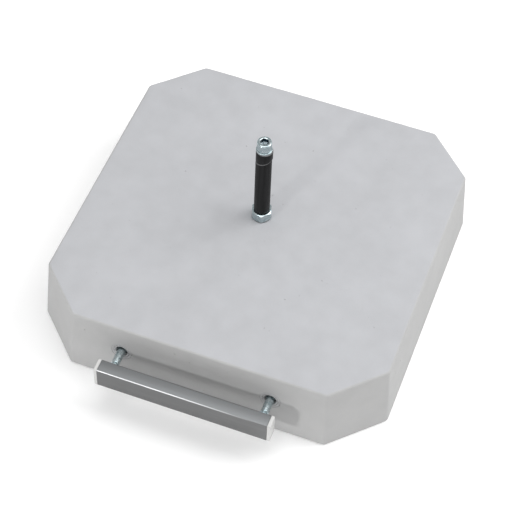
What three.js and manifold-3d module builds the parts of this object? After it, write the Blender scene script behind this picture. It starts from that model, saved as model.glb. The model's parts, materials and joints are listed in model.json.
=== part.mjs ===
// Concrete parasol base: an eight-sided slab with a screwed-in spigot for the pole, a wedge clamp on
// top of the spigot, and a pull-out carrying handle on the front face.
// Millimetres, +Z up. The origin is the spigot's axis on the ground, and the handle is on the -Y side.

import * as THREE from 'three';
import { mergeVertices } from 'three/addons/utils/BufferGeometryUtils.js';
import Module from 'manifold-3d';

const wasm = await Module();
wasm.setup();

// ---------------------------------------------------------------- driving dimensions

const GAP = 0.3; // between neighbouring pieces
const ROUND_STEPS = 48; // facets round a turned part
const EDGE_STEPS = 4; // facets across a rounded edge
const PAST = 5; // how far a cutting shape runs past what it cuts
const CUTTER = 200; // side of a cutting block, larger than what it cuts
const WELD = 1e-4; // corners closer than this are one corner

const slab = {
  side: 450,
  height: 96,
  chamferLeg: 60, // cut off each corner, measured along the side
  draft: 6.8, // each side leans in this far between the bottom and the top
  edgeRadius: 3,
  cornerRadius: 3,
  centreX: 3, // the slab's middle, seen from the spigot
  centreY: -6,
};

const anchor = {
  radius: 12,
  length: 70,
  threadDepth: 48,
  sunk: 0.5, // its mouth sits this far below the slab's top
  barRadius: 5,
  barLength: 120,
  barDepth: 60, // the cross bar's axis below the slab's top
};

// M16; a corner points 18 degrees right of -Y
const lockNut = { acrossFlats: 24, height: 13, cornerTurn: 18 };

const spigot = {
  radius: 10,
  studRadius: 8, // M16 stud below the shoulder
  studDepth: 40, // into the anchor socket
  shoulder: 13.6, // above the slab's top, on the lock nut
  jointHeight: 106, // the slanted top where it crosses the axis, above the slab's top
  holeRadius: 6.3, // M12 thread for the clamp screw
  holeDepth: 56,
  chamfer: 1,
};

const wedge = {
  radius: 10.4,
  slant: 18, // degrees, rising towards +X
  topHeight: 123.6, // above the slab's top
  offsetX: 0.5, // how far up the slant it sits when the clamp is loose
  travel: 2.6, // along the slant, from loose to tight
  chamfer: 0.8,
};

const clampWasher = { radius: 10, holeRadius: 6.5, thickness: 2 };

const clampScrew = {
  shankRadius: 6, // M12
  length: 60,
  headRadius: 9,
  headHeight: 12,
  headRounding: 1.2,
  tipChamfer: 1,
  keyAcrossFlats: 10,
  keyDepth: 6,
};

const handle = {
  centreX: 1, // the bar's middle, seen from the spigot
  height: 54.5, // of the bar's axis above the ground
  spacing: 190, // between the two bolts
  standOff: 28.4, // from the slab's face to the bar, pulled out
  barLength: 214,
  barDepth: 17,
  barHeight: 31,
  wall: 2.2,
  edgeRadius: 1.8,
  boltHole: 5.3,
};

const endCap = { flange: 4, tongueLength: 12, tongueThickness: 4.5, edgeBevel: 0.6 };

const guide = {
  radius: 13,
  bore: 10,
  depth: 43, // inside length, from the slab's face
  floor: 3,
  collarThickness: 5,
  collarBore: 7.7,
};

const stopWasher = { radius: 9, holeRadius: 5.3, thickness: 2 };
// M10
const handleBolt = { radius: 5, length: 50, headAcrossFlats: 16, headHeight: 6.4, chamfer: 1 };
const innerNut = { acrossFlats: 16, height: 8.4 };
const jamNut = { acrossFlats: 16, height: 5 };
const flatUp = Math.PI / 6; // turns a hexagon so that a flat is on top
const m10NutBore = 5.3;
const m16NutBore = 8.3;

// ---------------------------------------------------------------- places worked out from them

const slabTop = slab.height;
const slantAngle = THREE.MathUtils.degToRad(wedge.slant);
const faceTilt = Math.atan(slab.draft / slab.height);
// the slab's front face at the height of the handle
const handleFaceY = slab.centreY - slab.side / 2 + (slab.draft * handle.height) / slab.height;

// ---------------------------------------------------------------- materials

const paint = (color, roughness, metalness) =>
  new THREE.MeshStandardMaterial({ color, roughness, metalness });

const concrete = paint(0xc4c6c8, 0.9, 0);
const blackSteel = paint(0x1c1c1e, 0.5, 0.3);
const zincPlated = paint(0xb9bfc4, 0.35, 1);
const anodised = paint(0x8b8d90, 0.4, 0.9);
const whitePlastic = paint(0xe9eae8, 0.45, 0);
const greyPlastic = paint(0x9fa1a3, 0.6, 0);

// ---------------------------------------------------------------- solids

// A geometry with shared corners merged and no collapsed triangles, as a solid that can be cut.
function solidOf(geometry) {
  const bare = geometry.clone();
  bare.deleteAttribute('normal');
  bare.deleteAttribute('uv');
  const welded = mergeVertices(bare, WELD);
  const corners = welded.index.array;
  const triangles = [];
  for (let i = 0; i < corners.length; i += 3) {
    const [a, b, c] = [corners[i], corners[i + 1], corners[i + 2]];
    if (a !== b && b !== c && c !== a) triangles.push(a, b, c);
  }
  return new wasm.Manifold(
    new wasm.Mesh({
      numProp: 3,
      vertProperties: new Float32Array(welded.attributes.position.array),
      triVerts: new Uint32Array(triangles),
    }),
  );
}

function geometryOf(solid) {
  const { vertProperties, triVerts } = solid.getMesh();
  const geometry = new THREE.BufferGeometry();
  geometry.setAttribute('position', new THREE.BufferAttribute(vertProperties, 3));
  geometry.setIndex(new THREE.BufferAttribute(triVerts, 1));
  geometry.computeVertexNormals();
  return geometry;
}

function cut(geometry, ...cutters) {
  const body = cutters.reduce((solid, cutter) => solid.subtract(solidOf(cutter)), solidOf(geometry));
  return geometryOf(body);
}

function join(first, second) {
  return geometryOf(solidOf(first).add(solidOf(second)));
}

// A turned part about Z from its outline of [radius, z] points, going up on the outside.
function turned(outline) {
  const points = outline.map(([radius, z]) => new THREE.Vector2(radius, z));
  return new THREE.LatheGeometry(points, ROUND_STEPS).rotateX(Math.PI / 2);
}

function rod(radius, z0, z1, chamfer = 0) {
  return turned([
    [0, z0],
    [radius - chamfer, z0],
    [radius, z0 + chamfer],
    [radius, z1 - chamfer],
    [radius - chamfer, z1],
    [0, z1],
  ]);
}

function ring(outer, inner, z0, z1) {
  return turned([
    [inner, z0],
    [outer, z0],
    [outer, z1],
    [inner, z1],
    [inner, z0],
  ]);
}

// A six-sided prism about Z with one corner towards -Y.
function hexagon(acrossFlats, z0, z1) {
  const radius = acrossFlats / Math.sqrt(3);
  const prism = new THREE.CylinderGeometry(radius, radius, z1 - z0, 6).rotateX(Math.PI / 2);
  return prism.translate(0, 0, (z0 + z1) / 2);
}

// A hexagon nut from z = 0 up, its corners turned down at 30 degrees on both ends.
function nut(acrossFlats, height, bore) {
  const flatRadius = acrossFlats / 2;
  const outside = acrossFlats / Math.sqrt(3) + WELD;
  const drop = (outside - flatRadius) * Math.tan(Math.PI / 6);
  const envelope = turned([
    [0, 0],
    [flatRadius, 0],
    [outside, drop],
    [outside, height - drop],
    [flatRadius, height],
    [0, height],
  ]);
  const blank = solidOf(hexagon(acrossFlats, 0, height)).intersect(solidOf(envelope));
  return cut(geometryOf(blank), rod(bore, -PAST, height + PAST));
}

// Everything above a plane through (0, 0, z) that rises towards +X at the wedge's slant.
function aboveSlant(z) {
  const block = new THREE.BoxGeometry(CUTTER, CUTTER, CUTTER).translate(0, 0, CUTTER / 2);
  return block.rotateY(-slantAngle).translate(0, 0, z);
}

function roundedRectangle(width, height, radius) {
  const [x, y] = [width / 2, height / 2];
  const shape = new THREE.Shape();
  shape.absarc(x - radius, -y + radius, radius, -Math.PI / 2, 0);
  shape.absarc(x - radius, y - radius, radius, 0, Math.PI / 2);
  shape.absarc(-x + radius, y - radius, radius, Math.PI / 2, Math.PI);
  shape.absarc(-x + radius, -y + radius, radius, Math.PI, 1.5 * Math.PI);
  shape.closePath();
  return shape;
}

// ---------------------------------------------------------------- slab

// The square with its corners cut off, each of the eight corners slightly rounded.
function slabOutline() {
  const half = slab.side / 2;
  const inner = half - slab.chamferLeg;
  const corners = [
    [inner, -half], [half, -inner], [half, inner], [inner, half],
    [-inner, half], [-half, inner], [-half, -inner], [-inner, -half],
  ].map(([x, y]) => new THREE.Vector2(x, y));
  const shape = new THREE.Shape();
  corners.forEach((corner, i) => {
    const before = corners.at(i - 1).clone().sub(corner).setLength(slab.cornerRadius);
    const after = corners[(i + 1) % corners.length].clone().sub(corner).setLength(slab.cornerRadius);
    const start = corner.clone().add(before);
    const end = corner.clone().add(after);
    if (i === 0) shape.moveTo(start.x, start.y);
    else shape.lineTo(start.x, start.y);
    shape.quadraticCurveTo(corner.x, corner.y, end.x, end.y);
  });
  shape.closePath();
  return shape;
}

// Draws the sides in with height, so that they lean in by the draft at the top.
function taper(geometry) {
  const position = geometry.attributes.position;
  for (let i = 0; i < position.count; i += 1) {
    const lean = (2 * slab.draft * position.getZ(i)) / (slab.side * slab.height);
    position.setX(i, position.getX(i) * (1 - lean));
    position.setY(i, position.getY(i) * (1 - lean));
  }
  return geometry;
}

function slabGeometry() {
  const radius = slab.edgeRadius;
  const block = new THREE.ExtrudeGeometry(slabOutline(), {
    depth: slab.height - 2 * radius,
    bevelThickness: radius,
    bevelSize: radius,
    bevelOffset: -radius,
    bevelSegments: EDGE_STEPS,
    curveSegments: EDGE_STEPS,
  });
  taper(block.translate(0, 0, radius));
  block.translate(slab.centreX, slab.centreY, 0);
  const socketHole = rod(anchor.radius + GAP, -anchor.length - anchor.sunk - GAP, PAST);
  const barHole = crossBarGeometry(GAP);
  const guideHole = rod(guide.radius + GAP, -guide.depth - guide.floor - GAP, PAST);
  const guideHoles = [-1, 1].map((side) => guideHole.clone().applyMatrix4(boltPlace(side)));
  return cut(
    block,
    socketHole.translate(0, 0, slabTop),
    barHole.translate(0, 0, slabTop - anchor.barDepth),
    ...guideHoles,
  );
}

// ---------------------------------------------------------------- cast-in anchor

// The cross bar along X, grown by a margin for the hole it lies in.
function crossBarGeometry(margin) {
  const half = anchor.barLength / 2 + margin;
  return rod(anchor.barRadius + margin, -half, half).rotateY(Math.PI / 2);
}

// z = 0 is the slab's top.
function anchorSocketGeometry() {
  const body = rod(anchor.radius, -anchor.length - anchor.sunk, -anchor.sunk);
  const thread = rod(spigot.studRadius + GAP, -anchor.threadDepth, PAST);
  return cut(body, thread, crossBarGeometry(GAP).translate(0, 0, -anchor.barDepth));
}

// ---------------------------------------------------------------- spigot and clamp

// z = 0 is the slab's top for the spigot, the wedge, the washer and the screw.
function spigotGeometry() {
  const { radius, studRadius, studDepth, shoulder, jointHeight, chamfer } = spigot;
  const blank = turned([
    [0, -studDepth],
    [studRadius - chamfer, -studDepth],
    [studRadius, -studDepth + chamfer],
    [studRadius, shoulder],
    [radius - chamfer, shoulder],
    [radius, shoulder + chamfer],
    [radius, jointHeight + radius],
    [0, jointHeight + radius],
  ]);
  const hole = rod(spigot.holeRadius, jointHeight - spigot.holeDepth, jointHeight + 2 * radius);
  return cut(blank, aboveSlant(jointHeight), hole);
}

// The wedge about its own axis, with a slot that lets it slide sideways past the screw.
function wedgeGeometry() {
  const underside = spigot.jointHeight + GAP / Math.cos(slantAngle) + wedge.offsetX * Math.tan(slantAngle);
  const blank = rod(wedge.radius, underside - wedge.radius, wedge.topHeight, wedge.chamfer);
  const slotRadius = clampScrew.shankRadius + GAP;
  const slotEnds = [-wedge.offsetX, -wedge.offsetX + wedge.travel * Math.cos(slantAngle)];
  const slotHole = rod(slotRadius, underside - wedge.radius - PAST, wedge.topHeight + PAST);
  const solid = solidOf(blank).intersect(solidOf(aboveSlant(underside)));
  const [startHole, endHole] = slotEnds.map((x) => slotHole.clone().translate(x, 0, 0));
  const slotLength = slotEnds[1] - slotEnds[0];
  const slotMiddle = new THREE.BoxGeometry(slotLength, 2 * slotRadius, CUTTER);
  slotMiddle.translate((slotEnds[0] + slotEnds[1]) / 2, 0, underside);
  return cut(geometryOf(solid), startHole, endHole, slotMiddle);
}

// z = 0 is the face under the head.
function clampScrewGeometry() {
  const { headRadius, headHeight, headRounding, shankRadius, length, tipChamfer } = clampScrew;
  const rim = Array.from({ length: EDGE_STEPS + 1 }, (_, i) => {
    const angle = (i / EDGE_STEPS) * (Math.PI / 2);
    return [
      headRadius - headRounding * (1 - Math.cos(angle)),
      headHeight - headRounding * (1 - Math.sin(angle)),
    ];
  });
  const blank = turned([
    [0, -length],
    [shankRadius - tipChamfer, -length],
    [shankRadius, tipChamfer - length],
    [shankRadius, 0],
    [headRadius, 0],
    ...rim,
    [0, headHeight],
  ]);
  return cut(blank, hexagon(clampScrew.keyAcrossFlats, headHeight - clampScrew.keyDepth, headHeight + PAST));
}

// ---------------------------------------------------------------- handle hardware
// Each bolt's parts lie along one axis: z = 0 is the slab's face and +z points out of it.

// Turns +Z to point out of the front face, at one bolt.
function boltPlace(side) {
  const place = new THREE.Matrix4().makeRotationX(Math.PI / 2);
  return place.setPosition(handle.centreX + (side * handle.spacing) / 2, handleFaceY, handle.height);
}

// Everything in front of the slab's leaning face.
function beforeFace() {
  const block = new THREE.BoxGeometry(CUTTER, CUTTER, CUTTER).translate(0, 0, CUTTER / 2);
  return block.rotateX(-faceTilt);
}

// A cup cast into the slab, open at the face.
function guideCupGeometry() {
  const cup = turned([
    [0, -guide.depth - guide.floor],
    [guide.radius, -guide.depth - guide.floor],
    [guide.radius, PAST],
    [guide.bore, PAST],
    [guide.bore, -guide.depth],
    [0, -guide.depth],
  ]);
  return cut(cup, beforeFace());
}

function mouthCollarGeometry() {
  return cut(ring(guide.bore - GAP, guide.collarBore, -guide.collarThickness, PAST), beforeFace());
}

function stopWasherGeometry() {
  const z1 = -guide.collarThickness - GAP;
  return ring(stopWasher.radius, stopWasher.holeRadius, z1 - stopWasher.thickness, z1);
}

function handleBoltGeometry() {
  const underHead = -guide.collarThickness - stopWasher.thickness - 2 * GAP;
  const head = hexagon(handleBolt.headAcrossFlats, underHead - handleBolt.headHeight, underHead);
  const insideHead = underHead - handleBolt.headHeight / 2; // the shank starts inside the head
  const shank = rod(handleBolt.radius, insideHead, underHead + handleBolt.length, handleBolt.chamfer);
  return join(head, shank);
}

// ---------------------------------------------------------------- handle bar

// A hollow bar along X, with a hole for each bolt in its back wall.
function handleProfileGeometry() {
  const { barLength, barDepth, barHeight, wall, edgeRadius } = handle;
  const section = roundedRectangle(barHeight, barDepth, edgeRadius);
  section.holes.push(roundedRectangle(barHeight - 2 * wall, barDepth - 2 * wall, edgeRadius / 2));
  const bar = new THREE.ExtrudeGeometry(section, {
    depth: barLength,
    bevelEnabled: false,
    curveSegments: EDGE_STEPS,
  });
  bar.translate(0, 0, -barLength / 2).rotateY(Math.PI / 2);
  const holes = [-1, 1].map((side) => {
    const hole = rod(handle.boltHole, 0, barDepth / 2 + PAST).rotateX(-Math.PI / 2);
    return hole.translate((side * handle.spacing) / 2, 0, 0);
  });
  return cut(bar, ...holes);
}

// An end cap with its flange's inner face at x = 0. Two tongues grip inside the bar, above and below
// the nut.
function endCapGeometry() {
  const { barDepth, barHeight, wall, edgeRadius } = handle;
  const { flange, tongueLength, tongueThickness, edgeBevel } = endCap;
  const plate = new THREE.ExtrudeGeometry(roundedRectangle(barHeight, barDepth, edgeRadius), {
    depth: flange - 2 * edgeBevel,
    bevelThickness: edgeBevel,
    bevelSize: edgeBevel,
    bevelOffset: -edgeBevel,
    bevelSegments: EDGE_STEPS,
    curveSegments: EDGE_STEPS,
  }).translate(0, 0, edgeBevel);
  const rooted = tongueLength + flange / 2; // each tongue starts inside the flange
  const tongueOut = barHeight / 2 - wall - GAP - tongueThickness / 2;
  const tongues = [-tongueOut, tongueOut].map((x) => {
    const tongue = new THREE.BoxGeometry(tongueThickness, barDepth - 2 * (wall + GAP), rooted);
    return tongue.translate(x, 0, flange / 2 - rooted / 2);
  });
  return tongues.reduce(join, plate).rotateY(Math.PI / 2);
}

// ---------------------------------------------------------------- assembly

function part(name, geometry, material, parent, { x = 0, y = 0, z = 0, turn = 0 } = {}) {
  const mesh = new THREE.Mesh(geometry, material);
  mesh.name = name;
  mesh.position.set(x, y, z);
  mesh.rotation.z = turn;
  parent.add(mesh);
  return mesh;
}

const parasolBase = new THREE.Group();

part('concrete_slab', slabGeometry(), concrete, parasolBase);

const pinGroup = new THREE.Group();
pinGroup.position.z = slabTop;
parasolBase.add(pinGroup);
part('anchor_socket', anchorSocketGeometry(), zincPlated, pinGroup);
part('anchor_cross_bar', crossBarGeometry(0), zincPlated, pinGroup, { z: -anchor.barDepth });
part('lock_nut', nut(lockNut.acrossFlats, lockNut.height, m16NutBore), zincPlated, pinGroup, {
  z: GAP,
  turn: THREE.MathUtils.degToRad(lockNut.cornerTurn),
});
part('pole_spigot', spigotGeometry(), blackSteel, pinGroup);
part('clamp_wedge', wedgeGeometry(), blackSteel, pinGroup, { x: wedge.offsetX });

const washerZ = wedge.topHeight + GAP;
const washerGeometry = ring(clampWasher.radius, clampWasher.holeRadius, 0, clampWasher.thickness);
part('clamp_washer', washerGeometry, zincPlated, pinGroup, { z: washerZ });
part('clamp_screw', clampScrewGeometry(), zincPlated, pinGroup, {
  z: washerZ + clampWasher.thickness + GAP,
});

const barGroup = new THREE.Group();
barGroup.position.set(handle.centreX, handleFaceY - handle.standOff - handle.barDepth / 2, handle.height);
parasolBase.add(barGroup);
part('handle_profile', handleProfileGeometry(), anodised, barGroup);

for (const [label, side] of [['left', -1], ['right', 1]]) {
  part(`end_cap_${label}`, endCapGeometry(), whitePlastic, barGroup, {
    x: side * (handle.barLength / 2 + GAP),
    turn: side < 0 ? Math.PI : 0,
  });

  const boltGroup = new THREE.Group();
  boltGroup.applyMatrix4(boltPlace(side));
  parasolBase.add(boltGroup);
  part(`guide_cup_${label}`, guideCupGeometry(), greyPlastic, boltGroup);
  part(`mouth_collar_${label}`, mouthCollarGeometry(), greyPlastic, boltGroup);
  part(`stop_washer_${label}`, stopWasherGeometry(), zincPlated, boltGroup);
  part(`handle_bolt_${label}`, handleBoltGeometry(), zincPlated, boltGroup, { turn: flatUp });
  part(`jam_nut_${label}`, nut(jamNut.acrossFlats, jamNut.height, m10NutBore), zincPlated, boltGroup, {
    z: handle.standOff - GAP - jamNut.height,
    turn: flatUp,
  });
  part(`inner_nut_${label}`, nut(innerNut.acrossFlats, innerNut.height, m10NutBore), zincPlated, boltGroup, {
    z: handle.standOff + handle.wall + GAP,
    turn: flatUp,
  });
}

export default parasolBase;
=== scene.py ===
"""Concrete parasol base with a wedge-clamp spigot and a pull-out handle, built round the CAD frame.

Shapes are made in millimetres. piece() turns them into metres and puts them in the frame.
"""

import json
import math
import random

import bmesh
import bpy
from mathutils import Matrix, Vector, noise

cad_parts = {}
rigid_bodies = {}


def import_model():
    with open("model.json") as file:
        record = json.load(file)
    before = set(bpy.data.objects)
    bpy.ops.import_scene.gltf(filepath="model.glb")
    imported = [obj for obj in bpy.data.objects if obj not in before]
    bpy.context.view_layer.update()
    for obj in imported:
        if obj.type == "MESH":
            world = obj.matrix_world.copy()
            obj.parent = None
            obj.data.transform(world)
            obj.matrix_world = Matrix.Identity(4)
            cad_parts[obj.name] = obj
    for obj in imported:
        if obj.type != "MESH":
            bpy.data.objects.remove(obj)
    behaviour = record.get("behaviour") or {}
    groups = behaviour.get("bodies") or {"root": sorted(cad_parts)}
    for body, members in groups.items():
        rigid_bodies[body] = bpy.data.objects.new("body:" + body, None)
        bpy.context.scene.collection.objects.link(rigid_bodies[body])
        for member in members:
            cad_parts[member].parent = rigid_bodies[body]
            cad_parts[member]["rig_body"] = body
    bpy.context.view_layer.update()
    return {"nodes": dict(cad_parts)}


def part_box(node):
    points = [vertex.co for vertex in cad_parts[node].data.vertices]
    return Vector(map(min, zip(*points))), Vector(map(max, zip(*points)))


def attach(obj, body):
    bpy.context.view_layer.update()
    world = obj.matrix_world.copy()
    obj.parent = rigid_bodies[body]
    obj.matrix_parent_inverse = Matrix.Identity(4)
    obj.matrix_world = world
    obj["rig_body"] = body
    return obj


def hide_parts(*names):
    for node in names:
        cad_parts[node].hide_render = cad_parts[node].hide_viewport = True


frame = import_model()

# ---------------------------------------------------------------- driving dimensions, in millimetres

MM = 0.001
TURN = 2 * math.pi
ROUND = 96  # points round a turned piece
SHARP = math.radians(28)  # edges that bend more than this stay sharp
GAP = 0.3  # between neighbouring pieces

SLAB_DRAFT = 6.8  # each side leans in this far from bottom to top
SLAB_LEG = 60  # cut off each corner, along the side
SLAB_RIM = 3  # radius of the slab's edges
SLAB_CORNER = 3  # how far each of the eight corners is rounded along its sides
RIM_WEAR = 0.35  # share of the wear that halfway round an edge gets
PORES = 240  # small air holes in the concrete
PORE_SPACING = 5

SLANT = math.radians(18)  # the joint between spigot and wedge, rising towards +X
WEDGE_TRAVEL = 2.6  # along the slant
JOINT_CHAMFER = 1.6
CLAMP_BORE = 6.3  # radius of the hole round the M12 screw

WASHER_FACE = 0.94  # width of a nut's round face, as a share of its flats
M12_KEY = 10  # across flats of the screw's socket
M12_HEAD = 12
KNURL_DEPTH = 0.12
M10_PITCH = 1.5
M10_FLATS = 16
M10_HEAD = 6.4
M10_SHANK = 5
M10_BORE = 5.3
M10_THREAD = 24  # threaded length at the end of each handle bolt
M16_FLATS = 24
LOCK_NUT_TURN = math.radians(18)  # a corner points this far right of -Y

CUP_WALL = 3
COLLAR_BORE = 7.7
FLUSH = 0.05  # cups and collars end this far below the slab's face
BAR_WALL = 2.2
BAR_EDGE = 1.5


def measure(node):
    """A CAD node's lowest corner, highest corner and middle, in millimetres."""
    low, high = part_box(node)
    return low / MM, high / MM, (low + high) / 2 / MM


slab_low, slab_high, slab_middle = measure("concrete_slab")
slab_top = slab_high.z
face_tilt = math.atan(SLAB_DRAFT / slab_top)

# ---------------------------------------------------------------- shapes


def ring(radius, z, steps=ROUND):
    """Points round the Z axis. radius and z are numbers or functions of the angle."""
    points = []
    for i in range(steps):
        angle = TURN * i / steps
        r = radius(angle) if callable(radius) else radius
        height = z(angle) if callable(z) else z
        points.append(Vector((r * math.cos(angle), r * math.sin(angle), height)))
    return points


def skin(rings, joined=False):
    """A closed mesh through rings of equal length. joined closes the last ring to the first."""
    bm = bmesh.new()
    loops = [[bm.verts.new(point) for point in points] for points in rings]
    pairs = list(zip(loops, loops[1:]))
    if joined:
        pairs.append((loops[-1], loops[0]))
    else:
        bm.faces.new(loops[0])
        bm.faces.new(loops[-1])
    for below, above in pairs:
        for i, corner in enumerate(below):
            bm.faces.new((below[i - 1], corner, above[i], above[i - 1]))
    bmesh.ops.remove_doubles(bm, verts=bm.verts, dist=1e-4)
    bmesh.ops.recalc_face_normals(bm, faces=bm.faces)
    return bm


def soften(outline, closed=False, steps=4):
    """The outline of (x, y, radius) corners as (x, y) points, each corner an arc of its radius."""
    points = []
    for i, (x, y, radius) in enumerate(outline):
        if radius == 0 or (not closed and i in (0, len(outline) - 1)):
            points.append((x, y))
            continue
        corner = Vector((x, y))
        before = (Vector(outline[i - 1][:2]) - corner).normalized()
        after = (Vector(outline[(i + 1) % len(outline)][:2]) - corner).normalized()
        half = before.angle(after) / 2
        centre = corner + (before + after).normalized() * radius / math.sin(half)
        start = corner + before * radius / math.tan(half) - centre
        end = corner + after * radius / math.tan(half) - centre
        sweep = start.angle(end)
        for step in range(steps + 1):
            share = step / steps
            arm = start * math.sin((1 - share) * sweep) + end * math.sin(share * sweep)
            points.append(tuple(centre + arm / math.sin(sweep)))
    return points


def turned(outline, closed=False):
    """A turned shape from its outline of (radius, z, edge radius)."""
    return skin([ring(r, z) for r, z in soften(outline, closed)], joined=closed)


def hexagon(across_flats):
    """The radius of a hexagon with slightly worn corners, as a function of the angle."""
    worn_corner = 0.985 * across_flats / math.sqrt(3)

    def radius(angle):
        from_flat = angle % (TURN / 6) - TURN / 12
        return min(across_flats / 2 / math.cos(from_flat), worn_corner)

    return radius


def hexagon_sides(across_flats, low, high, washer_face):
    """Rings up a hexagon whose corners are turned down at 30 degrees to the washer face's radius."""
    radius = hexagon(across_flats)

    def drop(angle):
        return (radius(angle) - washer_face) * math.tan(math.radians(30))

    return [
        ring(washer_face, low),
        ring(radius, lambda angle: low + drop(angle)),
        ring(radius, lambda angle: high - drop(angle)),
        ring(washer_face, high),
    ]


def nut(across_flats, height, bore):
    """A nut that stands on z = 0, countersunk at each end of its bore."""
    lead = 0.8
    sides = hexagon_sides(across_flats, 0, height, WASHER_FACE * across_flats / 2)
    hole = [
        ring(bore + lead, height),
        ring(bore, height - lead),
        ring(bore, lead),
        ring(bore + lead, 0),
    ]
    return skin(sides + hole, joined=True)


def washer(outer, hole, thickness):
    """A stamped washer: its upper outer edge is rounded by the punch."""
    outline = [
        (hole, 0, 0.15),
        (outer, 0, 0.2),
        (outer, thickness, 0.6),
        (hole, thickness, 0.15),
    ]
    return turned(outline, closed=True)


def thread_rings(radius, pitch, low, high, run_in):
    """Rings along a right-hand thread that grows out of the plain shank over run_in."""
    depth = 0.61 * pitch  # of a standard metric thread
    per_pitch = 8
    count = round((high - low) / pitch * per_pitch)
    rings = []
    for i in range(count + 1):
        z = low + (high - low) * i / count
        fade = min(1, (z - low) / run_in)

        def radius_at(angle, z=z, fade=fade):
            phase = (z / pitch - angle / TURN) % 1
            valley = min(1, max(0, 1.3 * abs(2 * phase - 1) - 0.15))  # flats on crest and root
            return radius - depth * valley * fade

        rings.append(ring(radius_at, z))
    return rings


def section(depth, height, edge, inset=0, steps=6):
    """Points (y, z) round a rectangle with rounded corners, drawn in by inset."""
    y = depth / 2 - inset
    z = height / 2 - inset
    radius = max(edge - inset, 0.3)
    points = []
    for quarter in range(4):
        side_y = 1 if quarter in (0, 3) else -1
        side_z = 1 if quarter in (0, 1) else -1
        for step in range(steps + 1):
            angle = (quarter + step / steps) * TURN / 4
            corner_y = side_y * (y - radius) + radius * math.cos(angle)
            corner_z = side_z * (z - radius) + radius * math.sin(angle)
            points.append((corner_y, corner_z))
    return points


# ---------------------------------------------------------------- pieces in the frame


def mesh_object(name, bm, place=Matrix.Identity(4)):
    """The shape as an object in metres."""
    bm.transform(Matrix.Scale(MM, 4) @ place)
    mesh = bpy.data.meshes.new(name)
    bm.to_mesh(mesh)
    bm.free()
    obj = bpy.data.objects.new(name, mesh)
    bpy.context.scene.collection.objects.link(obj)
    return obj


def combine(obj, other, operation):
    """Cuts obj by another object, or joins it on, and removes the other one."""
    modifier = obj.modifiers.new("combine", "BOOLEAN")
    modifier.operation = operation
    modifier.solver = "MANIFOLD"
    modifier.object = other
    with bpy.context.temp_override(object=obj, active_object=obj):
        bpy.ops.object.modifier_apply(modifier=modifier.name)
    bpy.data.objects.remove(other)


def piece(name, shape, node, material, bevel=0):
    """Finishes a shape as the visible piece that stands for a CAD node, on that node's body."""
    obj = shape if isinstance(shape, bpy.types.Object) else mesh_object(name, shape)
    obj.name = name
    obj.data.materials.clear()
    obj.data.materials.append(material)
    obj.data.shade_smooth()
    obj.data.set_sharp_from_angle(angle=SHARP)
    if bevel:
        edges = obj.modifiers.new("worn_edges", "BEVEL")
        edges.width = bevel * MM
        edges.segments = 2
        edges.angle_limit = SHARP
        edges.harden_normals = True
    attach(obj, frame["nodes"][node]["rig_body"])
    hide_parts(node)
    return obj


# ---------------------------------------------------------------- slab

# How finely the slab's skin is divided: along its outline, then from ring to ring.
SIDE_STEPS = 66
LEG_STEPS = 16
CORNER_STEPS = 6
RIM_STEPS = 7
WALL_STEPS = 17
UNDERSIDE_STEPS = 26
TOP_STEPS = 42


def slab_outline(inset):
    """Points round the slab's eight-sided outline at the ground, drawn in by inset."""
    side = slab_high.x - slab_low.x + 2 * SLAB_DRAFT * SLAB_RIM / slab_top
    half = side / 2 - inset
    leg_distance = (side - SLAB_LEG) / math.sqrt(2) - inset
    inner = math.sqrt(2) * leg_distance - half
    corners = []
    for quarter in range(4):
        turn = Matrix.Rotation(quarter * TURN / 4, 2)
        corners += [turn @ Vector((half, inner)), turn @ Vector((inner, half))]
    points = []
    for i, corner in enumerate(corners):
        after = corners[(i + 1) % len(corners)]
        start = corner + (corners[i - 1] - corner).normalized() * SLAB_CORNER
        end = corner + (after - corner).normalized() * SLAB_CORNER
        for step in range(CORNER_STEPS + 1):
            share = step / CORNER_STEPS
            points.append(start.lerp(corner, share).lerp(corner.lerp(end, share), share))
        next_start = after + (corner - after).normalized() * SLAB_CORNER
        steps = LEG_STEPS if i % 2 == 0 else SIDE_STEPS
        points += [end.lerp(next_start, step / steps) for step in range(1, steps)]
    return points


def waves(point, height, length):
    """A smooth random height, up to about height either way."""
    return height * noise.noise(point / length)


def cast_relief(point, wear):
    """How far the cast surface stands out of true: slow waves, and edges worn in here and there."""
    out_of_true = waves(point, 0.10, 55) + waves(point, 0.04, 16)
    elsewhere = Vector((7, 3, 5))  # so that the chips don't follow the waves
    chips = max(0, noise.noise(point / 11 + elsewhere) - 0.15)
    return out_of_true - wear * (0.15 + 1.3 * chips)


def slab_lean(z):
    """How much smaller the slab's outline is at a height than at the ground."""
    return 1 - 2 * SLAB_DRAFT * z / ((slab_high.x - slab_low.x) * slab_top)


def slab_ring(inset, z, lift, wear=0):
    """One ring round the slab. lift is the angle of the surface's outward direction above level."""
    lean = slab_lean(z)
    points = []
    for x, y in slab_outline(inset):
        outward = Vector((x, y, 0)).normalized() * math.cos(lift) + Vector((0, 0, math.sin(lift)))
        point = Vector((x * lean, y * lean, z))
        point += outward * cast_relief(point, wear)
        point.z = max(point.z, 0)
        points.append(point + Vector((slab_middle.x, slab_middle.y, 0)))
    return points


def rim_rings(bottom):
    """The rounded edge, from the underside out to the side, or from the side in to the top."""
    rings = []
    for step in range(RIM_STEPS + 1):
        angle = TURN / 4 * step / RIM_STEPS
        lift = angle - TURN / 4 if bottom else angle
        inset = SLAB_RIM * (1 - math.cos(lift))
        rise = SLAB_RIM * math.sin(lift)
        z = SLAB_RIM + rise if bottom else slab_top - SLAB_RIM + rise
        wear = RIM_WEAR * math.sin(2 * angle)
        rings.append(slab_ring(inset, z, lift, wear))
    return rings


def lerp_rings(outer, inner, steps):
    """The rings between two rings."""
    return [
        [a.lerp(b, step / steps) for a, b in zip(outer, inner)] for step in range(1, steps)
    ]


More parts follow.
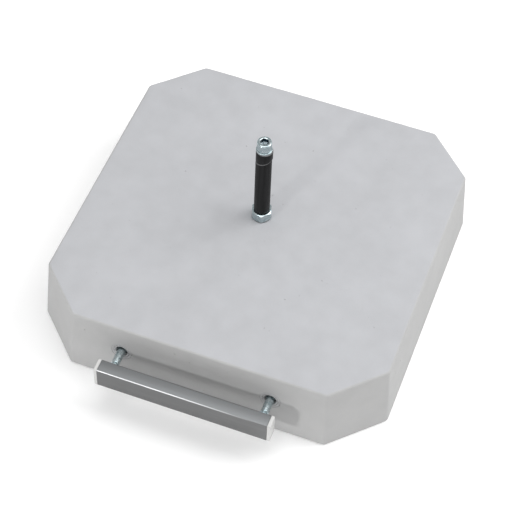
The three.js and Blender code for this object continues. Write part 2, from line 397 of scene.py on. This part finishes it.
def rough_underside(rings):
    """The struck-off underside: shallow hollows that never reach below the ground."""
    for points in rings:
        for point in points:
            flat = Vector((point.x, point.y, 0))
            point.z = 0.15 + abs(waves(flat, 0.5, 23)) + abs(waves(flat, 0.25, 6))


def rippled_top(rings):
    """The trowelled top: the same slow waves as the sides."""
    for points in rings:
        for point in points:
            point.z = slab_top + cast_relief(Vector((point.x, point.y, slab_top)), 0)


def slab_shape():
    """The slab with its socket hole, as one skin from the underside's middle to the hole's floor."""
    socket_low, socket_high, socket = measure("anchor_socket")
    hole = socket_high.x - socket.x + GAP
    bottom_rim = rim_rings(bottom=True)
    top_rim = rim_rings(bottom=False)
    wall = slab_top - 2 * SLAB_RIM
    sides = [slab_ring(0, SLAB_RIM + wall * step / WALL_STEPS, 0) for step in range(1, WALL_STEPS)]
    centre = [Vector((slab_middle.x, slab_middle.y, 0))] * len(top_rim[0])
    underside = [centre] + lerp_rings(centre, bottom_rim[0], UNDERSIDE_STEPS)
    rough_underside(underside)
    mouth = []
    for point in top_rim[-1]:
        outward = Vector((point.x - socket.x, point.y - socket.y, 0)).normalized()
        mouth.append(Vector((socket.x, socket.y, slab_top)) + outward * hole)
    top = lerp_rings(top_rim[-1], mouth, TOP_STEPS)
    rippled_top(top)
    floor_z = socket_low.z - GAP
    floor = [Vector((point.x, point.y, floor_z)) for point in mouth]
    end = [Vector((socket.x, socket.y, floor_z))] * len(mouth)
    return skin(underside + bottom_rim + sides + top_rim + top + [mouth, floor, end])


def cylinder_along(axis, node, clearance):
    """A cutter round a CAD node that lies along X, or along Y and out past the slab's face."""
    low, high, middle = measure(node)
    radius = (high.z - low.z) / 2 + clearance
    past = 10 if axis == "Y" else clearance
    length = (high.x - low.x) if axis == "X" else (high.y - low.y)
    rings = [ring(0, -clearance), ring(radius, -clearance), ring(radius, length + past)]
    shape = skin(rings + [ring(0, length + past)])
    if axis == "X":
        place = Matrix.Translation((low.x, middle.y, middle.z)) @ Matrix.Rotation(TURN / 4, 4, "Y")
    else:
        place = Matrix.Translation((middle.x, high.y, middle.z)) @ Matrix.Rotation(TURN / 4, 4, "X")
    return mesh_object("cutter_" + node, shape, place)


def pore_positions(draw):
    """Random places for air holes: on the top away from the nut, and on the eight sides."""
    top_share = 0.35
    rim_margin = 40
    nut_margin = 30
    half = slab_high.x - slab_middle.x
    outline = slab_outline(SLAB_RIM)
    places = []
    while len(places) < PORES:
        if draw.random() < top_share:
            x = draw.uniform(-1, 1) * (half - rim_margin)
            y = draw.uniform(-1, 1) * (half - rim_margin)
            if max(abs(x), abs(y)) <= nut_margin:
                continue
            place = Vector((x, y, slab_top))
        else:
            rim = outline[draw.randrange(len(outline))]
            z = draw.uniform(2 * SLAB_RIM, slab_top - 2 * SLAB_RIM)
            reach = slab_lean(z) * (1 + SLAB_RIM / half)
            place = Vector((rim.x * reach, rim.y * reach, z))
        place += Vector((slab_middle.x, slab_middle.y, 0))
        if all((place - other).length > PORE_SPACING for other in places):
            places.append(place)
    return places


def pore_cutters():
    """One mesh of small balls that cut the air holes."""
    draw = random.Random(11)
    bm = bmesh.new()
    for place in pore_positions(draw):
        radius = 0.3 + 0.6 * draw.random() ** 3  # mostly small ones
        at = Matrix.Translation(place)
        bmesh.ops.create_icosphere(bm, subdivisions=2, radius=radius, matrix=at)
    return mesh_object("cutter_pores", bm)


def make_slab(material):
    """The slab, cut out round the parts cast into it."""
    slab = mesh_object("slab", slab_shape())
    combine(slab, cylinder_along("X", "anchor_cross_bar", GAP), "DIFFERENCE")
    for side in ("left", "right"):
        combine(slab, cylinder_along("Y", "guide_cup_" + side, GAP / 2), "DIFFERENCE")
    combine(slab, pore_cutters(), "DIFFERENCE")
    return piece("slab", slab, "concrete_slab", material)


# ---------------------------------------------------------------- spigot and clamp


def slanted_ring(radius, z, share):
    """A ring whose height follows the joint's slant by a share from 0 to 1."""
    return ring(radius, lambda angle: z + share * radius * math.cos(angle) * math.tan(SLANT))


def make_spigot(material):
    low, high, middle = measure("pole_spigot")
    _, nut_high, _ = measure("lock_nut")
    radius = (high.x - low.x) / 2
    stud = 8
    bore_depth = 56
    shoulder = nut_high.z + GAP
    joint = high.z - radius * math.tan(SLANT)
    slant_start = joint - 20  # below this the rings are level
    outline = soften([
        (0, low.z, 0),
        (stud, low.z, 1),
        (stud, shoulder, 0),
        (radius, shoulder, 1.6),
        (radius, joint, JOINT_CHAMFER),
        (CLAMP_BORE, joint, 0.6),
        (CLAMP_BORE, joint - bore_depth, 0),
        (0, joint - bore_depth - CLAMP_BORE / 2, 0),
    ])
    rings = []
    for r, z in outline:
        share = max(0, (z - slant_start) / (joint - slant_start))
        rings.append(slanted_ring(r, z, share))
    shape = skin(rings)
    shape.transform(Matrix.Translation((middle.x, middle.y, 0)))
    return piece("spigot", shape, "pole_spigot", material)


def make_wedge(material):
    low, high, middle = measure("clamp_wedge")
    _, _, screw = measure("clamp_screw")
    radius = (high.y - low.y) / 2
    underside = low.z + radius * math.tan(SLANT)
    slot_start = screw.x - middle.x
    slot_end = slot_start + WEDGE_TRAVEL * math.cos(SLANT)
    land = slot_end + CLAMP_BORE + 0.3  # the flat ends start just outside the slot

    def share(z):
        return (high.z - z) / (high.z - underside)

    def slot_ring(z):
        points = []
        for point in ring(CLAMP_BORE, z):
            point.x += slot_end if point.x > 0 else slot_start
            point.z += share(z) * point.x * math.tan(SLANT)
            points.append(point)
        return points

    outline = soften([
        (land, underside, 0),
        (radius, underside, JOINT_CHAMFER),
        (radius, high.z, 1.2),
        (land, high.z, 0),
    ])
    rings = [slanted_ring(r, z, share(z)) for r, z in outline]
    shape = skin(rings + [slot_ring(high.z), slot_ring(underside)], joined=True)
    shape.transform(Matrix.Translation((middle.x, middle.y, 0)))
    return piece("wedge", shape, "clamp_wedge", material)


def make_screw(material):
    """The socket-head screw, built with z = 0 under its head."""
    low, high, middle = measure("clamp_screw")
    steps = 144
    head = (high.x - low.x) / 2
    length = high.z - low.z - M12_HEAD
    shank = 6
    key = hexagon(M12_KEY)
    key_mouth = M12_KEY / math.sqrt(3) + 0.3
    key_depth = 6
    knurl_low = 1.9
    knurl_high = M12_HEAD - 3.5
    knurl_end = 0.3  # height over which the knurl fades out

    def knurl(angle):
        tooth = round(angle / TURN * steps) % 2
        return head - KNURL_DEPTH * tooth

    plain = soften([
        (0, -length, 0),
        (shank, -length, 1),
        (shank, 0, 0.6),
        (head, 0, 0.5),
        (head, knurl_low - knurl_end, 0),
    ])
    rim = soften([
        (head, knurl_high + knurl_end, 0),
        (head, M12_HEAD, 1.5),
        (key_mouth, M12_HEAD, 0),
    ])
    rings = [ring(r, z, steps) for r, z in plain]
    rings += [ring(knurl, knurl_low, steps), ring(knurl, knurl_high, steps)]
    rings += [ring(r, z, steps) for r, z in rim]
    rings += [
        ring(key, M12_HEAD - 0.4, steps),
        ring(key, M12_HEAD - key_depth, steps),
        ring(0, M12_HEAD - key_depth - 1.2, steps),
    ]
    shape = skin(rings)
    shape.transform(Matrix.Translation((middle.x, middle.y, high.z - M12_HEAD)))
    return piece("screw", shape, "clamp_screw", material, bevel=0.12)


def make_clamp_washer(material):
    low, high, middle = measure("clamp_washer")
    shape = washer((high.x - low.x) / 2, 6.5, high.z - low.z)
    shape.transform(Matrix.Translation((middle.x, middle.y, low.z)))
    return piece("washer", shape, "clamp_washer", material)


def make_lock_nut(material):
    low, high, middle = measure("lock_nut")
    shape = nut(M16_FLATS, high.z - low.z, 8.3)
    turn = Matrix.Rotation(LOCK_NUT_TURN - TURN / 4, 4, "Z")
    shape.transform(Matrix.Translation((middle.x, middle.y, low.z)) @ turn)
    return piece("nut_m16", shape, "lock_nut", material, bevel=0.25)


# ---------------------------------------------------------------- handle


def outward_from(node):
    """Puts a shape built up +Z at the slab end of a node that lies along the handle's bolts."""
    low, high, middle = measure(node)
    place = Matrix.Translation((middle.x, high.y, middle.z)) @ Matrix.Rotation(TURN / 4, 4, "X")
    return place, high.y - low.y, (high.z - low.z) / 2


def make_bolt(side, material):
    node = "handle_bolt_" + side
    place, length, _ = outward_from(node)
    face = WASHER_FACE * M10_FLATS / 2
    thread_start = length - M10_THREAD
    sides = hexagon_sides(M10_FLATS, 0, M10_HEAD - 0.2, face)
    fillet = 0.5
    under_head = [
        ring(face, M10_HEAD),
        ring(M10_SHANK + fillet, M10_HEAD),
        ring(M10_SHANK, M10_HEAD + fillet),
    ]
    thread = thread_rings(M10_SHANK, M10_PITCH, thread_start, length - 1, 2 * M10_PITCH)
    tip = [ring(M10_SHANK - 1, length), ring(0, length)]
    shape = skin([ring(0, 0)] + sides + under_head + thread + tip)
    shape.transform(place)
    return piece("bolt_m10_" + side, shape, node, material)


def make_m10_nut(kind, side, material):
    node = kind + "_nut_" + side
    place, height, _ = outward_from(node)
    shape = nut(M10_FLATS, height, M10_BORE)
    shape.transform(place)
    return piece(kind + "_nut_m10_" + side, shape, node, material, bevel=0.15)


def make_stop_washer(side, material):
    node = "stop_washer_" + side
    place, thickness, radius = outward_from(node)
    shape = washer(radius, M10_BORE, thickness)
    shape.transform(place)
    return piece("stop_" + side, shape, node, material)


def face_ring(radius, below):
    """A ring parallel to the slab's leaning face, at a depth below it."""
    return ring(radius, lambda angle: -below - radius * math.sin(angle) * math.tan(face_tilt))


def face_place(node):
    """Where a cup's or collar's axis leaves the slab's leaning face."""
    low, high, middle = measure(node)
    face_y = low.y + (high.z - low.z) / 2 * math.tan(face_tilt)
    return Matrix.Translation((middle.x, face_y, middle.z)) @ Matrix.Rotation(TURN / 4, 4, "X")


def make_cup(side, material):
    node = "guide_cup_" + side
    low, high, _ = measure(node)
    outer = (high.z - low.z) / 2
    inner = outer - CUP_WALL
    depth = high.y - face_place(node).translation.y
    edge = 0.35
    shape = skin([
        ring(0, -depth),
        ring(outer - 1, -depth),
        ring(outer, -depth + 1),
        face_ring(outer, edge),
        face_ring(outer - edge, FLUSH),
        face_ring(inner + edge, FLUSH),
        face_ring(inner, edge),
        ring(inner, -depth + CUP_WALL),
        ring(0, -depth + CUP_WALL),
    ])
    shape.transform(face_place(node))
    return piece("cup_" + side, shape, node, material)


def make_collar(side, material):
    node = "mouth_collar_" + side
    low, high, _ = measure(node)
    outer = (high.z - low.z) / 2
    depth = high.y - face_place(node).translation.y
    edge = 0.3
    lip = 0.9  # the mouth's rounding
    lip_steps = 4
    rings = [
        ring(COLLAR_BORE + edge, -depth),
        ring(outer - edge, -depth),
        ring(outer, -depth + edge),
        face_ring(outer, edge),
        face_ring(outer - edge, FLUSH),
    ]
    for step in range(lip_steps + 1):
        angle = TURN / 4 * step / lip_steps
        radius = COLLAR_BORE + lip * (1 - math.sin(angle))
        rings.append(face_ring(radius, lip * (1 - math.cos(angle)) + FLUSH))
    shape = skin(rings + [ring(COLLAR_BORE, -depth + edge)], joined=True)
    shape.transform(face_place(node))
    return piece("collar_" + side, shape, node, material)


def make_profile(material):
    low, high, middle = measure("handle_profile")
    depth = high.y - low.y
    height = high.z - low.z

    def cut_end(inset, x):
        outline = section(depth, height, BAR_EDGE, inset)
        return [Vector((x, middle.y + y, middle.z + z)) for y, z in outline]

    outside = [cut_end(0, low.x), cut_end(0, high.x)]
    inside = [cut_end(BAR_WALL, high.x), cut_end(BAR_WALL, low.x)]
    shape = skin(outside + inside, joined=True)
    bar = mesh_object("bar", shape)
    for side in ("left", "right"):
        _, _, bolt = measure("handle_bolt_" + side)
        hole = skin([ring(0, 0), ring(M10_BORE, 0), ring(M10_BORE, depth), ring(0, depth)])
        place = Matrix.Translation((bolt.x, middle.y, bolt.z)) @ Matrix.Rotation(-TURN / 4, 4, "X")
        combine(bar, mesh_object("cutter", hole, place), "DIFFERENCE")
    return piece("bar", bar, "handle_profile", material)


def make_cap(side, material):
    """An end cap: a plate with a rounded outer edge, and two tongues that grip inside the bar."""
    node = "end_cap_" + side
    low, high, middle = measure(node)
    bar_low, bar_high, _ = measure("handle_profile")
    outward = 1 if middle.x > 0 else -1
    face = high.x if outward > 0 else low.x
    seat = (bar_high.x if outward > 0 else bar_low.x) + outward * GAP
    depth = high.y - low.y
    height = high.z - low.z

    def layer(inset, x):
        outline = section(depth, height, BAR_EDGE, inset)
        return [Vector((x, middle.y + y, middle.z + z)) for y, z in outline]

    edge = 0.25
    rounding = 1.0
    rounding_steps = 5
    rings = [layer(edge, seat), layer(0, seat + outward * edge)]
    for step in range(rounding_steps + 1):
        angle = TURN / 4 * step / rounding_steps
        x = face - outward * rounding * (1 - math.sin(angle))
        rings.append(layer(rounding * (1 - math.cos(angle)), x))
    rings.append(layer(rounding + 2, face))
    cap = mesh_object("cap_" + side, skin(rings))
    inner_end = low.x if outward > 0 else high.x
    tongue = 4.5  # thickness
    for up in (-1, 1):
        z = middle.z + up * (height / 2 - BAR_WALL - GAP - tongue / 2)
        outline = section(depth - 2 * (BAR_WALL + GAP), tongue, 0.5)
        rings = []
        for x in (inner_end, seat + outward * 2):
            rings.append([Vector((x, middle.y + across, z + along)) for across, along in outline])
        combine(cap, mesh_object("tongue", skin(rings)), "UNION")
    return piece("cap_" + side, cap, node, material)


# ---------------------------------------------------------------- materials


class Finish:
    """A node material on object coordinates, so that its grain has a real size in metres."""

    def __init__(self, name, **surface):
        self.material = bpy.data.materials.new(name)
        self.material.use_nodes = True
        self.tree = self.material.node_tree
        self.surface = self.tree.nodes["Principled BSDF"]
        self.place = self.add("ShaderNodeTexCoord").outputs["Object"]
        for key, value in surface.items():
            self.set(key, value)

    def add(self, kind, **settings):
        node = self.tree.nodes.new(kind)
        for key, value in settings.items():
            setattr(node, key, value)
        return node

    def feed(self, node, socket, value):
        """Links or sets one input."""
        if isinstance(value, bpy.types.NodeSocket):
            self.tree.links.new(value, node.inputs[socket])
        else:
            node.inputs[socket].default_value = value

    def set(self, key, value):
        """Sets a surface input, such as base_color."""
        self.feed(self.surface, key.replace("_", " ").title().replace("Ior", "IOR"), value)

    def grain(self, size, detail=3, stretch=(1, 1, 1)):
        """Noise from 0 to 1 with features of about this size in millimetres."""
        mapping = self.add("ShaderNodeMapping")
        self.feed(mapping, "Vector", self.place)
        self.feed(mapping, "Scale", stretch)
        texture = self.add("ShaderNodeTexNoise")
        self.feed(texture, "Vector", mapping.outputs["Vector"])
        self.feed(texture, "Scale", 1 / (size * MM))
        self.feed(texture, "Detail", detail)
        return texture.outputs["Fac"]

    def spread(self, value, low, high, start=0.3, end=0.7):
        """value from start to end becomes low to high."""
        node = self.add("ShaderNodeMapRange")
        limits = {"From Min": start, "From Max": end, "To Min": low, "To Max": high}
        for socket, number in limits.items():
            self.feed(node, socket, number)
        self.feed(node, "Value", value)
        return node.outputs["Result"]

    def mix(self, share, first, second):
        """Two colours mixed by a share."""
        node = self.add("ShaderNodeMix", data_type="RGBA")
        self.tree.links.new(share, node.inputs[0])
        for socket, colour in ((6, first), (7, second)):
            if isinstance(colour, bpy.types.NodeSocket):
                self.tree.links.new(colour, node.inputs[socket])
            else:
                node.inputs[socket].default_value = (*colour, 1)
        return node.outputs[2]

    def sum(self, *terms):
        """The sum of values, each with a weight."""
        total = 0.0
        for value, weight in terms:
            node = self.add("ShaderNodeMath", operation="MULTIPLY_ADD")
            self.feed(node, 0, value)
            self.feed(node, 1, weight)
            self.feed(node, 2, total)
            total = node.outputs[0]
        return total

    def edges(self, start, end):
        """1 on sharp outer edges, 0 on flat faces."""
        pointed = self.add("ShaderNodeNewGeometry").outputs["Pointiness"]
        return self.spread(pointed, 0, 1, start, end)

    def product(self, first, second):
        """Two values multiplied."""
        node = self.add("ShaderNodeMath", operation="MULTIPLY")
        self.feed(node, 0, first)
        self.feed(node, 1, second)
        return node.outputs[0]

    def facing(self, toward, start, end):
        """1 where the surface faces a direction, 0 where it turns away from it."""
        node = self.add("ShaderNodeVectorMath", operation="DOT_PRODUCT")
        self.feed(node, 0, self.add("ShaderNodeNewGeometry").outputs["Normal"])
        self.feed(node, 1, Vector(toward).normalized())
        return self.spread(node.outputs["Value"], 0, 1, start, end)

    def along(self, start, end):
        """0 to 1 as X goes from start to end, in metres."""
        split = self.add("ShaderNodeSeparateXYZ")
        self.feed(split, 0, self.place)
        return self.spread(split.outputs["X"], 0, 1, start, end)

    def openness(self, reach):
        """0 deep in a hole, 1 on open faces. reach is how far it looks, in millimetres."""
        shade = self.add("ShaderNodeAmbientOcclusion", samples=8, only_local=True)
        self.feed(shade, "Distance", reach * MM)
        return self.spread(shade.outputs["AO"], 0, 1, 0.3, 0.8)

    def relief(self, height, depth):
        """Bump from a height of 0 to 1 that stands for a depth in millimetres."""
        bump = self.add("ShaderNodeBump")
        self.feed(bump, "Height", height)
        self.feed(bump, "Distance", depth * MM)
        self.set("normal", bump.outputs["Normal"])


def concrete_finish():
    """Fair-faced cement: pale grey clouds, fine sand, and a painted cool tint of light from above on
    the top.
    """
    finish = Finish("cast_concrete", specular_ior_level=0.25)
    clouds = finish.grain(90, detail=4)
    patches = finish.grain(22, detail=5)
    sand = finish.grain(1.1, detail=2)
    tone = finish.sum((clouds, 0.45), (patches, 0.35), (sand, 0.20))
    share = finish.spread(tone, 0, 1, 0.36, 0.64)
    sides = finish.mix(share, (0.426, 0.426, 0.425), (0.468, 0.468, 0.467))
    # painted light: faces that turn up get a bluer tone, a painted tint of the cool light from above
    top = finish.mix(share, (0.420, 0.425, 0.441), (0.462, 0.468, 0.487))
    pale = finish.mix(finish.facing((0, 0, 1), 0.8, 0.98), sides, top)
    finish.set("base_color", pale)
    finish.set("roughness", finish.spread(patches, 0.78, 0.95))
    finish.relief(finish.sum((sand, 0.6), (patches, 0.4)), 0.12)
    return finish.material


def black_finish():
    """Satin black coating with fine lengthwise rubbing, and a painted grey highlight on the rims that
    face up.
    """
    finish = Finish("black_coating", specular_ior_level=0.16)
    rubbing = finish.grain(3.0, detail=3, stretch=(1, 1, 0.05))
    mottle = finish.grain(1.6, detail=4)
    share = finish.spread(rubbing, 0, 1, 0.35, 0.75)
    black = finish.mix(share, (0.006, 0.006, 0.006), (0.016, 0.016, 0.017))
    # painted highlight: faces that turn up are greyed, as if they caught the light from above
    brightened = finish.mix(finish.facing((0, 0, 1), 0.25, 0.6), black, (0.17, 0.17, 0.175))
    finish.set("base_color", brightened)
    finish.set("roughness", finish.spread(mottle, 0.38, 0.58))
    finish.relief(finish.sum((mottle, 0.7), (rubbing, 0.3)), 0.05)
    return finish.material


def zinc_finish():
    """Blue-passivated zinc: cool bright metal with cloudy roughness, and painted dark-blue shade down
    in the recesses, where faces that turn up stay bright.
    """
    finish = Finish("blue_zinc", metallic=1.0)
    clouds = finish.grain(4, detail=4)
    fine = finish.grain(0.5, detail=3)
    share = finish.spread(clouds, 0, 1)
    cool = finish.mix(share, (0.40, 0.50, 0.53), (0.60, 0.66, 0.67))
    # the sharp edges are worn brighter
    brightened = finish.mix(finish.edges(0.53, 0.62), cool, (0.68, 0.71, 0.72))
    # painted shade: dark blue down in the recesses and hollows, lighter again where a face turns up to
    # the light
    lit = finish.sum((finish.openness(14), 1), (finish.facing((0, 0, 1), 0.3, 0.9), 0.7))
    finish.set("base_color", finish.mix(lit, (0.02, 0.05, 0.08), brightened))
    finish.set("roughness", finish.spread(finish.sum((clouds, 0.6), (fine, 0.4)), 0.16, 0.38))
    finish.relief(finish.sum((fine, 0.6), (clouds, 0.4)), 0.02)
    return finish.material


def steel_finish():
    """Plain cast-in steel, dull and slightly browned."""
    finish = Finish("plain_steel", metallic=1.0)
    clouds = finish.grain(9, detail=5)
    fine = finish.grain(0.8, detail=3)
    share = finish.spread(clouds, 0, 1)
    finish.set("base_color", finish.mix(share, (0.26, 0.23, 0.21), (0.42, 0.42, 0.42)))
    finish.set("roughness", finish.spread(fine, 0.45, 0.75))
    finish.relief(finish.sum((fine, 0.5), (clouds, 0.5)), 0.08)
    return finish.material


def aluminium_finish():
    """Anodised aluminium with drawing lines along the bar. Its upper outer edge has a painted highlight
    that fades out towards the right end, and its top face a painted reflection of the room above.
    """
    finish = Finish("anodised_aluminium", metallic=1.0)
    lines = finish.grain(0.6, detail=3, stretch=(0.01, 1, 1))
    broad = finish.grain(5, detail=2, stretch=(0.02, 1, 1))
    smudges = finish.grain(35, detail=3)
    tone = finish.sum((lines, 0.4), (broad, 0.35), (smudges, 0.25))
    share = finish.spread(tone, 0, 1, 0.4, 0.6)
    grey = finish.mix(share, (0.160, 0.161, 0.162), (0.184, 0.186, 0.188))
    # painted reflection: the top face is lighter, a painted reflection of the bright room above
    sky = finish.sum((finish.facing((0, 0, 1), 0.8, 0.95), 0.6))
    grey = finish.mix(sky, grey, (0.262, 0.274, 0.281))
    # painted highlight along the upper outer edge: full up to x = 10 mm, gone by x = 90 mm
    edge = finish.facing((0, -1, 1), 0.88, 0.97)
    painted_edge_highlight = finish.product(edge, finish.along(0.09, 0.01))
    finish.set("base_color", finish.mix(painted_edge_highlight, grey, (0.70, 0.71, 0.72)))
    finish.set("roughness", finish.spread(lines, 0.34, 0.48))
    finish.relief(finish.sum((lines, 0.7), (broad, 0.3)), 0.015)
    return finish.material


def white_plastic_finish():
    """Moulded plastic with a fine grain."""
    finish = Finish("white_plastic", specular_ior_level=0.5)
    mottle = finish.grain(0.7, detail=3)
    clouds = finish.grain(12, detail=3)
    share = finish.spread(clouds, 0, 1)
    finish.set("base_color", finish.mix(share, (0.55, 0.55, 0.542), (0.60, 0.60, 0.592)))
    finish.set("roughness", finish.spread(mottle, 0.34, 0.48))
    finish.relief(mottle, 0.03)
    return finish.material


def grey_plastic_finish():
    """Dull plastic with painted shade that makes it dark down in the cups."""
    finish = Finish("grey_plastic", specular_ior_level=0.3)
    mottle = finish.grain(0.9, detail=3)
    clouds = finish.grain(8, detail=3)
    share = finish.spread(clouds, 0, 1)
    pale = finish.mix(share, (0.40, 0.40, 0.405), (0.46, 0.46, 0.465))
    # painted shade: the colour goes nearly black where the surface is closed in
    finish.set("base_color", finish.mix(finish.openness(12), (0.012, 0.013, 0.016), pale))
    finish.set("roughness", finish.spread(mottle, 0.55, 0.75))
    finish.relief(mottle, 0.04)
    return finish.material


# ---------------------------------------------------------------- assembly

concrete = concrete_finish()
black = black_finish()
zinc = zinc_finish()
steel = steel_finish()
aluminium = aluminium_finish()
white_plastic = white_plastic_finish()
grey_plastic = grey_plastic_finish()

make_slab(concrete)
make_lock_nut(zinc)
make_spigot(black)
make_wedge(black)
make_clamp_washer(zinc)
make_screw(zinc)
make_profile(aluminium)
for side in ("left", "right"):
    make_cup(side, grey_plastic)
    make_collar(side, grey_plastic)
    make_bolt(side, zinc)
    make_stop_washer(side, zinc)
    make_m10_nut("jam", side, zinc)
    make_m10_nut("inner", side, zinc)
    make_cap(side, white_plastic)

for node in ("anchor_socket", "anchor_cross_bar"):
    anchor = frame["nodes"][node]
    anchor.data.materials.clear()
    anchor.data.materials.append(steel)

# ---------------------------------------------------------------- studio


def direction(azimuth, elevation):
    """Out from the object: azimuth 0 is the handle's side and 90 is +X, in degrees."""
    a = math.radians(azimuth)
    e = math.radians(elevation)
    return Vector((math.sin(a) * math.cos(e), -math.cos(a) * math.cos(e), math.sin(e)))


aim = Vector((slab_middle.x, slab_middle.y, slab_top / 2)) * MM


def soft_light(name, azimuth, elevation, distance, size, power):
    """A round lamp aimed at the slab. Distance and size are in metres, power in watts."""
    light = bpy.data.lights.new(name, "AREA")
    light.shape = "DISK"
    light.size = size
    light.energy = power
    lamp = bpy.data.objects.new(name, light)
    away = direction(azimuth, elevation)
    lamp.location = aim + away * distance
    lamp.rotation_euler = away.to_track_quat("Z", "Y").to_euler()
    bpy.context.scene.collection.objects.link(lamp)


def white_room(brightness):
    """A plain white surround that lights evenly, and looks white to the camera."""
    world = bpy.data.worlds.new("room")
    bpy.context.scene.world = world
    world.use_nodes = True
    tree = world.node_tree
    background = tree.nodes["Background"]
    paths = tree.nodes.new("ShaderNodeLightPath")
    strength = tree.nodes.new("ShaderNodeMapRange")
    tree.links.new(paths.outputs["Is Camera Ray"], strength.inputs["Value"])
    strength.inputs["To Min"].default_value = brightness
    strength.inputs["To Max"].default_value = 1.0
    tree.links.new(strength.outputs["Result"], background.inputs["Strength"])
    background.inputs["Color"].default_value = (1, 1, 1, 1)


def pale_floor(size):
    """A wide pale table just under the ground plane."""
    finish = Finish("studio_floor", specular_ior_level=0.1)
    mottle = finish.grain(400, detail=2)
    share = finish.spread(mottle, 0, 1)
    finish.set("base_color", finish.mix(share, (0.945, 0.945, 0.945), (0.955, 0.955, 0.955)))
    finish.set("roughness", 0.9)
    finish.set("emission_strength", 0.08)  # a faintly backlit table, so that the shadows stay soft
    bm = bmesh.new()
    bmesh.ops.create_grid(bm, x_segments=4, y_segments=4, size=size)
    floor = mesh_object("studio_floor", bm, Matrix.Translation((0, 0, -0.2)))
    floor.data.materials.append(finish.material)


def photo_camera(azimuth, elevation, distance, roll, lens, shift):
    """A camera that looks at a point shifted from the slab's middle, tipped by a roll in degrees."""
    camera = bpy.data.objects.new("camera", bpy.data.cameras.new("camera"))
    bpy.context.scene.collection.objects.link(camera)
    bpy.context.scene.camera = camera
    away = direction(azimuth, elevation)
    place = aim + Vector(shift) * MM + away * distance
    turn = away.to_track_quat("Z", "Y").to_matrix().to_4x4()
    tip = Matrix.Rotation(math.radians(roll), 4, "Z")
    camera.matrix_world = Matrix.Translation(place) @ turn @ tip
    camera.data.lens = lens
    camera.data.sensor_width = 36
    camera.data.clip_start = 0.1
    camera.data.clip_end = 50


white_room(brightness=0.5)
soft_light("overhead", azimuth=0, elevation=89, distance=2.5, size=2.2, power=27)
soft_light("side", azimuth=118, elevation=45, distance=2.5, size=2.0, power=33)
soft_light("low_front", azimuth=-21, elevation=20, distance=2.5, size=0.24, power=15)
pale_floor(size=15000)
photo_camera(
    azimuth=18.593,
    elevation=52.306,
    distance=2.1432,
    roll=2.3,
    lens=119.29,
    shift=(1.7, -21.0, -1.5),
)
bpy.context.scene.view_settings.view_transform = "Standard"
